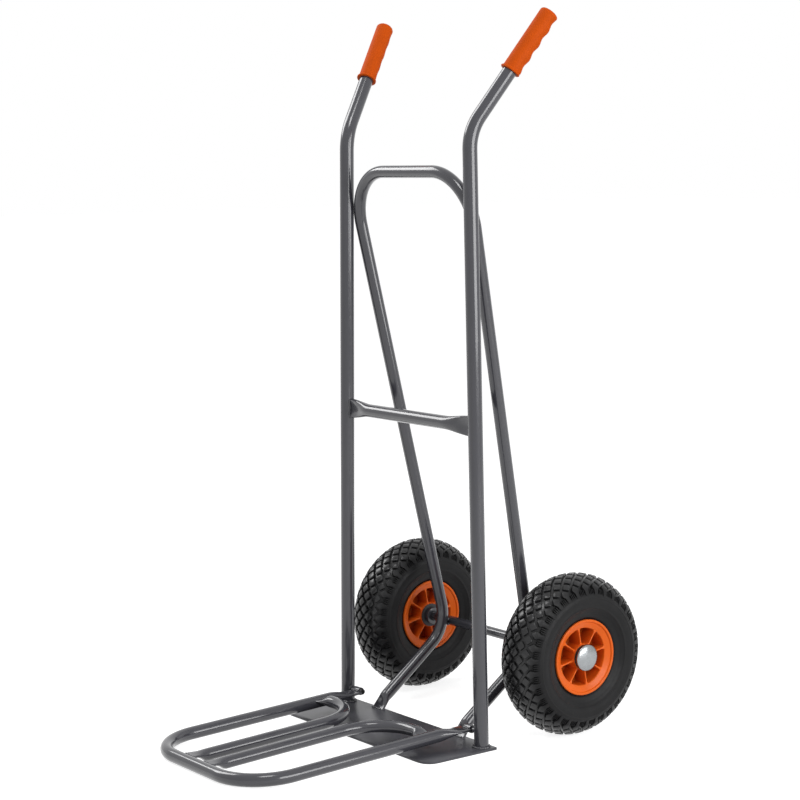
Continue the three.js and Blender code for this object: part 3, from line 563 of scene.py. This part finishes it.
def hinge_cap(side):
    """A push-on cap over the pin's inner end."""
    bore, floor_x, rim_x = 4.3, 136.6, 140.7
    section = [(0, 135.3, 0), (4.6, 135.5, 1.6), (5.2, rim_x, 0.4), (bore, rim_x, 0.2), (bore, floor_x, 0),
               (0, floor_x, 0)]
    return on_hinge(side, section, 4)


for name, side in SIDES.items():
    piece(f"rail_tube_{name}", rail(side), "frame", enamel, "frame_enamel", f"rail_{name}")
    piece(f"handle_grip_{name}", grip(side), "frame", vinyl, "grip_plastic", f"grip_{name}")
    piece(f"pin_{name}", hinge_pin(side), "frame", enamel, "frame_enamel", f"hinge_pin_{name}")
    piece(f"push_cap_{name}", hinge_cap(side), "frame", black, "black_plastic", f"hinge_cap_{name}")
    piece(f"hooked_bar_{name}", inner_bar(side), "toe_extension", enamel, "frame_enamel",
          f"inner_bar_{name}")
piece("flattened_crossbar", crossbar(), "frame", enamel, "frame_enamel", "crossbar")
piece("bent_brace", rear_brace(), "frame", enamel, "frame_enamel", "rear_brace")
piece("plate", toe_plate(), "frame", sheet, "frame_enamel", "toe_plate", sharp=50)
piece("folding_frame", extension_frame(), "toe_extension", enamel, "frame_enamel", "extension_frame")

# ---------- wheels, drawn round their own centre with the outboard side at +X ----------

SPOKES, SPOKE_TURN = 8, math.radians(10.5)
SPOKE_FACE = 29  # from the middle plane
LUGS = 34  # blocks in each row of the tread
TREAD_DEPTH = 4.8
ROW_STEP = 9.9  # across the tread, from row to row
BLOCK_SHARE = 0.78  # of the room that a block has
CROWN, HALF_WIDTH, WIDEST = 38, 42.5, 92  # the tyre's crown stands CROWN above its widest place
AXLE_BORE = 8.3
AXLE_END = 239.4


def both_sides(half):
    """A section's outboard half, and its mirror image."""
    return [(r, -x, f) for r, x, f in half[::-1]] + half


def rim():
    """A one-piece moulding: lip, seat, hub and spokes that thicken towards the hub and the seat."""
    half = [(47.5, 14.1, 1.5), (51.5, 18.1, 1), (51.5, 29.6, 0.8), (60.6, 31.6, 0.5), (60.6, 35.4, 1.8),
            (56.8, 35.2, 1.2), (55.8, 32.4, 0.9), (46, 28.6, 1.8), (44.6, 3, 2.5), (HUB_RADIUS, 3, 2.5),
            (HUB_RADIUS, 31, 0.9), (11.8, 31, 0.5)]
    body = lathe(rounded(both_sides(half), 5), 128)
    pocket_end, web, flare, fade = 45.4, 1.15, 1.9, 1.3
    # the spoke's sections lie closer together where it thickens
    reach = [18.5, 20.1, 20.7, 21.5, 22.7, 24.5, 28, 32, 36, 41.5, 43.2, 44.3, 45.2, 46, 46.9]
    rings = []
    for r in reach:
        inner, outer = max(r, HUB_RADIUS) - HUB_RADIUS, pocket_end - min(r, pocket_end)
        thick = web + flare * math.exp(-inner / fade) + flare * math.exp(-outer / fade)
        section = rounded([(SPOKE_FACE, -thick, 0.8), (SPOKE_FACE, thick, 0.8),
                           (-SPOKE_FACE, thick, 0.8), (-SPOKE_FACE, -thick, 0.8)])
        rings.append(np.column_stack([section[:, 0], section[:, 1], np.full(len(section), r)]))
    spoke = np.vstack(rings), tube_skin(len(rings), len(rings[0]))
    turns = [SPOKE_TURN + 2 * math.pi * i / SPOKES for i in range(SPOKES)]
    return merged([body, *(moved(spoke, Matrix.Rotation(t, 4, "X")) for t in turns)])


def crown(arc, depth):
    """The point at this arc length from the middle of the tread and this far under its surface."""
    angles = np.linspace(0, math.radians(95), 400)
    steps = np.hypot(np.diff(WIDEST + CROWN * np.cos(angles)), np.diff(HALF_WIDTH * np.sin(angles)))
    a = np.interp(np.abs(arc), np.concatenate([[0], np.cumsum(steps)]), angles)
    normal = np.stack([HALF_WIDTH * np.cos(a), CROWN * np.sin(a)])
    normal /= np.linalg.norm(normal, axis=0)
    radius = WIDEST + CROWN * np.cos(a) - normal[0] * depth
    return radius, np.sign(arc) * (HALF_WIDTH * np.sin(a) - normal[1] * depth)


def tread_block(outline, top=0.0, slope=1.1):
    """One block of the tread from a loop of (angle, arc, fillet), with sloping sides and a soft edge."""
    loop = rounded([(a * WIDEST, s, f) for a, s, f in outline])
    middle = (loop.max(0) + loop.min(0)) / 2
    size = (loop.max(0) - loop.min(0)) / 2
    levels = [(TREAD_DEPTH + 1, 0), (top + 0.7, slope * 0.55), (top + 0.2, slope * 0.75),
              (top, slope * 1.25)]
    rings = []
    for depth, inset in levels:
        ring = middle + (loop - middle) * (1 - inset / size)
        radius, x = crown(ring[:, 1], depth)
        angle = ring[:, 0] / WIDEST
        rings.append(np.column_stack([x, -radius * np.sin(angle), radius * np.cos(angle)]))
    return np.vstack(rings), tube_skin(len(rings), len(loop))


def tyre():
    """A carcass with its tread sunk under the crown, and the blocks, lugs and shoulder ribs on it."""
    angles = np.radians(np.concatenate([np.arange(0, 60, 3), np.arange(60, 124, 2)]))
    sunk = TREAD_DEPTH * (1 - smoothstep(angles, math.radians(62), math.radians(80)))
    nr, nx = HALF_WIDTH * np.cos(angles), CROWN * np.sin(angles)
    size = np.hypot(nr, nx)
    sidewall_ring = 0.9 * np.exp(-(((angles - math.radians(108)) / 0.045) ** 2))
    shoulder_ring = 0.5 * np.exp(-(((angles - math.radians(84)) / 0.018) ** 2))
    out = sidewall_ring + shoulder_ring - sunk
    radius = WIDEST + CROWN * np.cos(angles) + out * nr / size
    x = HALF_WIDTH * np.sin(angles) + out * nx / size
    half = list(zip(radius, x))
    # the sidewall's foot and the bead, then back along the inside to the crown
    half += [(66, 34.9), (64, 34), (62.6, 32.2), (61, 31.3), (51.8, 29.3), (51.8, 24.3), (56.5, 22),
             (72, 34), (90, 36.5), (108, 27), (120.5, 0)]
    mirrored = [(r, -w) for r, w in half[1:-1]][::-1]
    carcass = lathe(half + mirrored, 160)
    pitch = 2 * math.pi / LUGS
    wide, high = BLOCK_SHARE * pitch / 2, BLOCK_SHARE * ROW_STEP
    blocks = []
    for row in range(-3, 4):
        s = ROW_STEP * row
        diamond = [(wide, s, 2), (0, s + high, 2), (-wide, s, 2), (0, s - high, 2)]
        blocks.append((tread_block(diamond), row % 2 / 2))
    head = 3.9 * ROW_STEP
    lug = [(0, head - high, 2), (wide * 0.9, head, 1.5), (wide * 0.55, head + 6, 1.5),
           (wide * 0.5, 56, 1)]
    lug += [(-a, s, f) for a, s, f in lug[:0:-1]]
    rib_corners = ((-0.008, 44), (0.008, 44), (0.008, 56), (-0.008, 56))
    for side in SIDES.values():
        blocks.append((tread_block([(a, side * s, f) for a, s, f in lug]), 0))
        for shift in (-0.16, 0, 0.16):
            rib = [(shift * pitch + da, side * s, 0.3) for da, s in rib_corners]
            blocks.append((tread_block(rib, 0.5, 0.3), 0.5))
    shapes = [carcass]
    for shape, phase in blocks:
        if shape_volume(shape) < 0:
            shape = shape[0], [face[::-1] for face in shape[1]]
        for k in range(LUGS):
            shapes.append(moved(shape, Matrix.Rotation((k + phase) * pitch, 4, "X")))
    return merged(shapes)


def shape_volume(shape):
    """Below nought where the faces point inwards."""
    verts, faces = shape
    total = 0.0
    for face in faces:
        a = verts[face[0]]
        for i, j in zip(face[1:], face[2:]):
            total += a @ np.cross(verts[i], verts[j])
    return total / 6


def ring(radius, start, end, fillet=0.5):
    """A ring round the axle."""
    section = [(AXLE_BORE, start, 0.2), (radius, start, fillet), (radius, end, fillet), (AXLE_BORE, end, 0.2)]
    return lathe(rounded(section), 64)


def bush():
    body, flange = 11.5, 19.8
    section = [(AXLE_BORE, 15.3, 0.3), (body, 15.3, 0.4), (body, 31.3, 0), (flange, 31.3, 0.4),
               (flange, 33.8, 0.8), (AXLE_BORE, 33.8, 0.3)]
    return lathe(rounded(section), 64)


def axle_cap():
    """A pressed dome with a rolled edge."""
    dome = [(21.3 * math.cos(a), 2 + 6 * math.sin(a)) for a in np.linspace(0, math.pi / 2, 14)]
    outer = [(20.6, 0), (21.1, 0.1), (21.5, 0.6), (21.5, 1.2), *dome[:-1], (0, 8)]
    inner = [(20.1 * math.cos(a), 2 + 4.8 * math.sin(a)) for a in np.linspace(0, math.pi / 2, 8)]
    return lathe([*outer, (0, 6.8), *inner[:-1][::-1], (20.1, 0)], 96)


def on_axle(side, x=0.0):
    """Places a shape drawn with its outboard side at +X, this far out from the wheel's middle plane."""
    place = Matrix.Translation((side * WHEEL_X, AXLE_Y, AXLE_Z)) @ Matrix.Diagonal((side, 1, 1, 1))
    return place @ Matrix.Translation((x, 0, 0))


tyre_shape, rim_shape, bush_shape, cap_shape = tyre(), rim(), bush(), axle_cap()
flip = Matrix.Diagonal((-1, 1, 1, 1))
for name, side in SIDES.items():
    body, place = f"wheel_{name}", on_axle(side)
    piece(f"treaded_tyre_{name}", moved(tyre_shape, place), body, rubber, "tyre_rubber",
          f"tyre_{name}", sharp=28)
    piece(f"spoked_rim_{name}", moved(rim_shape, place), body, moulded, "rim_plastic",
          f"rim_{name}", sharp=40)
    bushes = merged([moved(bush_shape, place), moved(moved(bush_shape, flip), place)])
    piece(f"flanged_bushes_{name}", bushes, body, nylon, "bush_nylon",
          f"bush_outer_{name}", f"bush_inner_{name}")
    washer = moved(ring(14, 34.1, 36.1), place)
    piece(f"washer_{name}", washer, "frame", zinc, "zinc_plate", f"axle_washer_{name}")
    collar = moved(ring(14.5, -42.1, -34.1, 1.0), place)
    piece(f"collar_{name}", collar, "frame", enamel, "frame_enamel", f"axle_collar_{name}")
    piece(f"domed_cap_{name}", moved(cap_shape, on_axle(side, 36.4)), "frame", zinc, "zinc_plate",
          f"axle_cap_{name}")
axle = lathe(rounded([(0, -AXLE_END, 0), (AXLE_RADIUS, -AXLE_END, 1), (AXLE_RADIUS, AXLE_END, 1),
                      (0, AXLE_END, 0)]), 48)
axle_place = Matrix.Translation((0, AXLE_Y, AXLE_Z))
piece("through_axle", moved(axle, axle_place), "frame", enamel, "frame_enamel", "axle")

# ---------- welds ----------

TURN = np.radians(np.arange(0, 360, 10))


def nearest(points, origin, direction):
    """The point of a path nearest to a line, and the line's own point nearest to that."""
    rel = points - origin
    foot = origin + (rel @ direction)[:, None] * direction
    i = int(np.argmin(np.linalg.norm(points - foot, axis=1)))
    return points[i], foot[i]


def straight(middle, direction, start, end, count=12):
    """Points of a straight weld, from start to end along a direction through its middle."""
    steps = np.linspace(start, end, count)
    return [np.asarray(middle, float) + np.asarray(direction, float) * t for t in steps]


def crossbar_seam(side):
    """Round the crossbar's pressed and dished end, on the rail's surface."""
    half_height, half_thick = 14.6, 2.6
    seam = []
    for a in TURN:
        half = (half_thick + CROSSBAR_DISH * math.cos(a) ** 2) * abs(math.sin(a)) ** 0.5
        y, z = half * np.sign(math.sin(a)), CROSSBAR_Z + half_height * math.cos(a)
        seam.append((side * (rail_x(z) - math.sqrt(RAIL_RADIUS**2 - y * y)), y, z))
    return seam


def frame_welds(side):
    """Rail to plate, crossbar and brace to rail, knee to axle, brace to plate, hinge pin to rail."""
    foot_radius, pin_radius = 12.6, 4.6
    foot = [(side * FOOT_X + foot_radius * math.cos(a), foot_radius * math.sin(a), PLATE_TOP + 0.4)
            for a in TURN]
    beads = [bead(foot, 2.4, closed=True), bead(crossbar_seam(side), 1.6, closed=True)]
    line = unit((side * (BEND_X - FOOT_X), 0, BEND_Z))
    points = brace_path()[0]
    upper = (points[:, 0] * side > 0) & (points[:, 2] > 700)
    at, on_rail = nearest(points[upper], np.array([side * FOOT_X, 0, 0]), line)
    middle = on_rail + unit(at - on_rail) * (RAIL_RADIUS + GAP)
    for y in (-4.4, 4.4):
        beads.append(bead(straight(middle + (0, y, 0), line, -16, 16), 2.3))
    for z in (-4.2, 4.2):
        knee = (side * 110.5, AXLE_Y - AXLE_RADIUS - 0.6, AXLE_Z + z)
        beads.append(bead(straight(knee, (1, 0, 0), -7, 7, 8), 2.4))
    for y, width in ((7.6, 12.5), (16.4, 11)):
        toe = (side * BRACE_FOOT_X, y, PLATE_TOP + 0.3)
        beads.append(bead(straight(toe, (1, 0, 0), -width, width), 1.7))
    pin = [(side * (FOOT_X - 11.3), pin_radius * math.cos(a), HINGE_Z + pin_radius * math.sin(a))
           for a in TURN]
    beads.append(bead(pin, 1.5, closed=True))
    return beads


def extension_welds(side):
    """Arm to eye, inner bar to front tube and inner bar to arm."""
    beads = []
    for z in (-1, 1):
        beads.append(bead(straight((side * ARM_X, -6.6, z * 2.2), (side, 0, 0), -3.5, 11, 10), 1.3))
    tail = (side * INNER_BAR_X, -EXTENSION_REACH + 6.6, 8.4)
    beads.append(bead(straight(tail, (1, 0, 0), -12.5, 12.5), 1.5))
    hook = (side * (ARM_X - BAR_RADIUS * 0.9), -84.8 + 2, 5.6)
    beads.append(bead(straight(hook, (0, 1, 0), -12, 12), 1.5))
    return beads


on_frame = merged([weld for side in SIDES.values() for weld in frame_welds(side)])
on_extension = merged([weld for side in SIDES.values() for weld in extension_welds(side)])
piece("frame_welds", on_frame, "frame", enamel, "frame_enamel")
piece("extension_welds", moved(on_extension, IN_EXTENSION), "toe_extension", enamel, "frame_enamel")

# ---------- finishes on the CAD pieces that stay in view ----------

STAYING = {"inner_tube": tube_rubber, "valve_cap": black}
for stem, material in STAYING.items():
    for name in SIDES:
        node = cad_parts[f"{stem}_{name}"]
        node.data.materials.clear()
        node.data.materials.append(material)

# ---------- floor, light and camera, in metres ----------

FLOOR_HALF = 30
FLOOR_ALBEDO, FLOOR_GLOW = 0.6, 0.82  # together they show the floor as white
AMBIENT, BACKDROP = 0.32, 1.0  # the world's strength as light, and as seen
CAMERA_PLACE = (2.6075, -1.9745, 0.9164)
CAMERA_AZIMUTH, CAMERA_PITCH, CAMERA_ROLL = (math.radians(a) for a in (53.106, 6.683, -0.637))
SENSOR_WIDTH, FOCAL_LENGTH = 36, 92.65  # millimetres
SOFTBOXES = {  # place, target, width, height, watts
    "right": ((3.48, 0.62, 1.19), (0, 0.1, 0.85), 2.6, 1.57, 84),
    "left": ((-2.2, -1.05, 2.5), (0, 0, 0.6), 1.4, 1.7, 52),
    "top": ((0.85, -0.8, 2.8), (0, 0, 0.3), 0.8, 0.8, 17),
}


def seen(nodes, links):
    """1 for rays that show the background: from the camera, in a reflection or through glass."""
    path = nodes.new("ShaderNodeLightPath")
    first, second = (nodes.new("ShaderNodeMath") for _ in range(2))
    first.operation = second.operation = "MAXIMUM"
    links.new(path.outputs["Is Camera Ray"], first.inputs[0])
    links.new(path.outputs["Is Glossy Ray"], first.inputs[1])
    links.new(first.outputs[0], second.inputs[0])
    links.new(path.outputs["Is Transmission Ray"], second.inputs[1])
    return second.outputs[0]


def studio_world():
    world = bpy.data.worlds.new("studio")
    bpy.context.scene.world = world
    world.use_nodes = True
    nodes, links = world.node_tree.nodes, world.node_tree.links
    background = nodes["Background"]
    background.inputs["Color"].default_value = (1, 1, 1, 1)
    strength = nodes.new("ShaderNodeMapRange")
    strength.inputs["To Min"].default_value = AMBIENT
    strength.inputs["To Max"].default_value = BACKDROP
    links.new(seen(nodes, links), strength.inputs["Value"])
    links.new(strength.outputs["Result"], background.inputs["Strength"])


def floor():
    mesh = bpy.data.meshes.new("floor")
    h = FLOOR_HALF
    mesh.from_pydata([(-h, -h, 0), (h, -h, 0), (h, h, 0), (-h, h, 0)], [], [(0, 1, 2, 3)])
    made = bpy.data.objects.new("floor", mesh)
    bpy.context.scene.collection.objects.link(made)
    material = bpy.data.materials.new("floor")
    material.use_nodes = True
    nodes, links = material.node_tree.nodes, material.node_tree.links
    shader = nodes["Principled BSDF"]
    shader.inputs["Base Color"].default_value = (*[FLOOR_ALBEDO] * 3, 1)
    shader.inputs["Roughness"].default_value = 0.9
    shader.inputs["Specular IOR Level"].default_value = 0.1
    glow = nodes.new("ShaderNodeEmission")
    links.new(seen(nodes, links), glow.inputs["Strength"])
    glow.inputs["Color"].default_value = (*[FLOOR_GLOW] * 3, 1)
    both = nodes.new("ShaderNodeAddShader")
    links.new(shader.outputs["BSDF"], both.inputs[0])
    links.new(glow.outputs["Emission"], both.inputs[1])
    links.new(both.outputs["Shader"], nodes["Material Output"].inputs["Surface"])
    mesh.materials.append(material)


def softbox(name, place, target, width, height, power):
    data = bpy.data.lights.new(name, "AREA")
    data.shape = "RECTANGLE"
    data.size, data.size_y, data.energy = width, height, power
    made = bpy.data.objects.new(name, data)
    bpy.context.scene.collection.objects.link(made)
    made.location = place
    made.rotation_mode = "QUATERNION"
    made.rotation_quaternion = (Vector(target) - Vector(place)).to_track_quat("-Z", "Y")


def camera():
    """The photograph's own view of the truck."""
    azimuth, roll, level = CAMERA_AZIMUTH, CAMERA_ROLL, math.cos(CAMERA_PITCH)
    forward = np.array([-math.sin(azimuth) * level, math.cos(azimuth) * level, -math.sin(CAMERA_PITCH)])
    right = np.array([math.cos(azimuth), math.sin(azimuth), 0])
    up = np.cross(right, forward)
    right, up = (right * math.cos(roll) + up * math.sin(roll),
                 up * math.cos(roll) - right * math.sin(roll))
    data = bpy.data.cameras.new("camera")
    data.sensor_width, data.lens = SENSOR_WIDTH, FOCAL_LENGTH
    data.clip_start, data.clip_end = 0.05, 200
    made = bpy.data.objects.new("camera", data)
    bpy.context.scene.collection.objects.link(made)
    pose = np.eye(4)
    pose[:3, :3] = np.column_stack([right, up, -forward])
    pose[:3, 3] = CAMERA_PLACE
    made.matrix_world = Matrix(pose.tolist())
    bpy.context.scene.camera = made


studio_world()
floor()
for name, settings in SOFTBOXES.items():
    softbox(name, *settings)
camera()
bpy.context.scene.view_settings.view_transform = "Standard"
